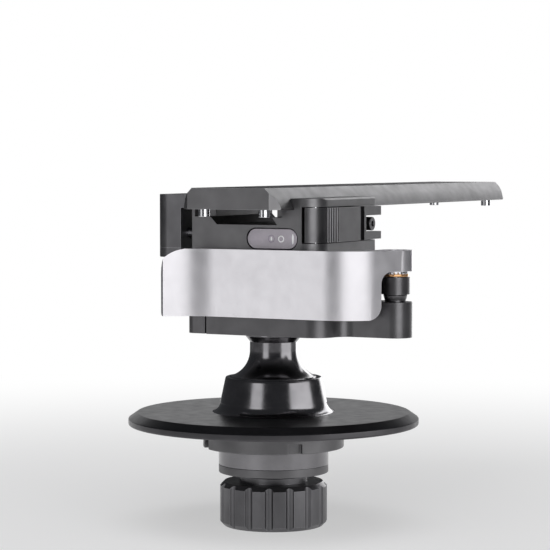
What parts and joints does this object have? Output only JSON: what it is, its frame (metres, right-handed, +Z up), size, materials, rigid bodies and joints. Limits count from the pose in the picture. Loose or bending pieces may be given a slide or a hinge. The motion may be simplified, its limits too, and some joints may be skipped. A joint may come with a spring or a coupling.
{
  "type": "sliding dovetail rail clamp on a levelling ball seat",
  "caption": "Wide round seat disc with a locking ball stem that carries a lever clamp, a bubble level and a long dovetail rail that slides through its jaws.",
  "frame": {"origin": "centre of the seat disc's underside, on the axis of the stem", "axes": "+Z up along the stem, +Y along the rail towards its far end, +X across the clamp towards the lever's pivot"},
  "size_m": [0.107, 0.2275, 0.1201],
  "materials": {
    "black_anodised": "bead-blasted satin black anodised",
    "gloss_black": "smooth semi-gloss black anodised",
    "dark_anodised": "satin dark grey anodised",
    "silver_lever": "fine satin, slightly warm grey titanium colour",
    "steel": "turned and polished",
    "black_steel": "black oxide",
    "bronze": "turned bronze",
    "liner": "natural low-friction plastic",
    "washer_plastic": "black plastic",
    "acrylic": "clear acrylic with a faint mauve tint",
    "liquid": "clear liquid",
    "plug": "knurled bright plug"
  },
  "bodies": {
    "seat": {"seat_disc": "black_anodised", "socket_collar": "gloss_black", "disc_ring_nut": "black_anodised", "socket_cap": "black_anodised", "cup_key": "steel"},
    "knob": {"lock_screw": "steel", "lock_knob": "black_anodised", "knob_screw": "black_steel"},
    "cup": {"pressure_cup": "steel"},
    "liner": {"socket_liner": "liner"},
    "ball": {"ball_stem": "gloss_black", "pan_washer": "washer_plastic", "clamp_bolt": "black_steel"},
    "clamp": {"clamp_base": "dark_anodised", "base_end_cap": "dark_anodised", "end_cap_screws": "black_steel", "clamp_body": "dark_anodised", "seat_jaw": "dark_anodised", "body_screws": "black_steel", "guide_rods": "steel", "level_vial": "acrylic", "vial_liquid": "liquid", "vial_plug": "plug", "pivot_bush": "black_anodised", "catch_hinge_pin": "steel", "catch_spring": "steel", "catch_stop_pin": "black_steel"},
    "catch": {"safety_catch": "black_anodised"},
    "jaw": {"moving_jaw": "dark_anodised", "jaw_plate": "black_anodised", "jaw_screws": "black_steel", "pull_rod": "black_steel", "rod_nut": "black_steel", "jaw_spring": "steel"},
    "lever": {"lever": "silver_lever", "cam_shaft": "steel", "bronze_washer": "bronze", "serrated_ring": "steel", "cam_cap": "black_steel"},
    "rail": {"slide_rail": "dark_anodised", "stop_pins": "steel"}
  },
  "joints": [
    {"name": "lock_knob_turn", "type": "hinge", "parent": "seat", "child": "knob", "pos_m": [0, 0, -0.03], "axis": [0, 0, 1], "range_deg": [-360, 0]},
    {"name": "cup_slide", "type": "slide", "parent": "seat", "child": "cup", "axis": [0, 0, 1], "range_m": [-0.00101, 0.00001]},
    {"name": "ball_azimuth", "type": "hinge", "parent": "seat", "child": "liner", "pos_m": [0, 0, 0.0118], "axis": [0, 0, 1], "continuous": true},
    {"name": "ball_tilt", "type": "hinge", "parent": "liner", "child": "ball", "pos_m": [0, 0, 0.0118], "axis": [1, 0, 0], "range_deg": [-15, 15]},
    {"name": "clamp_pan", "type": "hinge", "parent": "ball", "child": "clamp", "pos_m": [0, 0, 0.033], "axis": [0, 0, 1], "continuous": true},
    {"name": "lever_swing", "type": "hinge", "parent": "clamp", "child": "lever", "pos_m": [0.0496, -0.0052, 0.045], "axis": [0, 0, 1], "range_deg": [0, 100]},
    {"name": "jaw_slide", "type": "slide", "parent": "clamp", "child": "jaw", "axis": [1, 0, 0], "range_m": [-0.00155, 0.00001], "deforming": ["jaw_spring"]},
    {"name": "catch_swing", "type": "hinge", "parent": "clamp", "child": "catch", "pos_m": [0.0248, -0.0172, 0.071], "axis": [0, 0, -1], "range_deg": [0, 10], "stiffness_Nm_per_rad": 0.03, "springref_deg": -11.46},
    {"name": "rail_slide", "type": "slide", "parent": "clamp", "child": "rail", "axis": [0, 1, 0], "range_m": [-0.144, 0.005]}
  ],
  "couplings": [
    {"joint": "jaw_slide", "follows": "lever_swing", "m_per_rad": -0.00087782},
    {"joint": "cup_slide", "follows": "lock_knob_turn", "m_per_rad": 0.00015915}
  ]
}
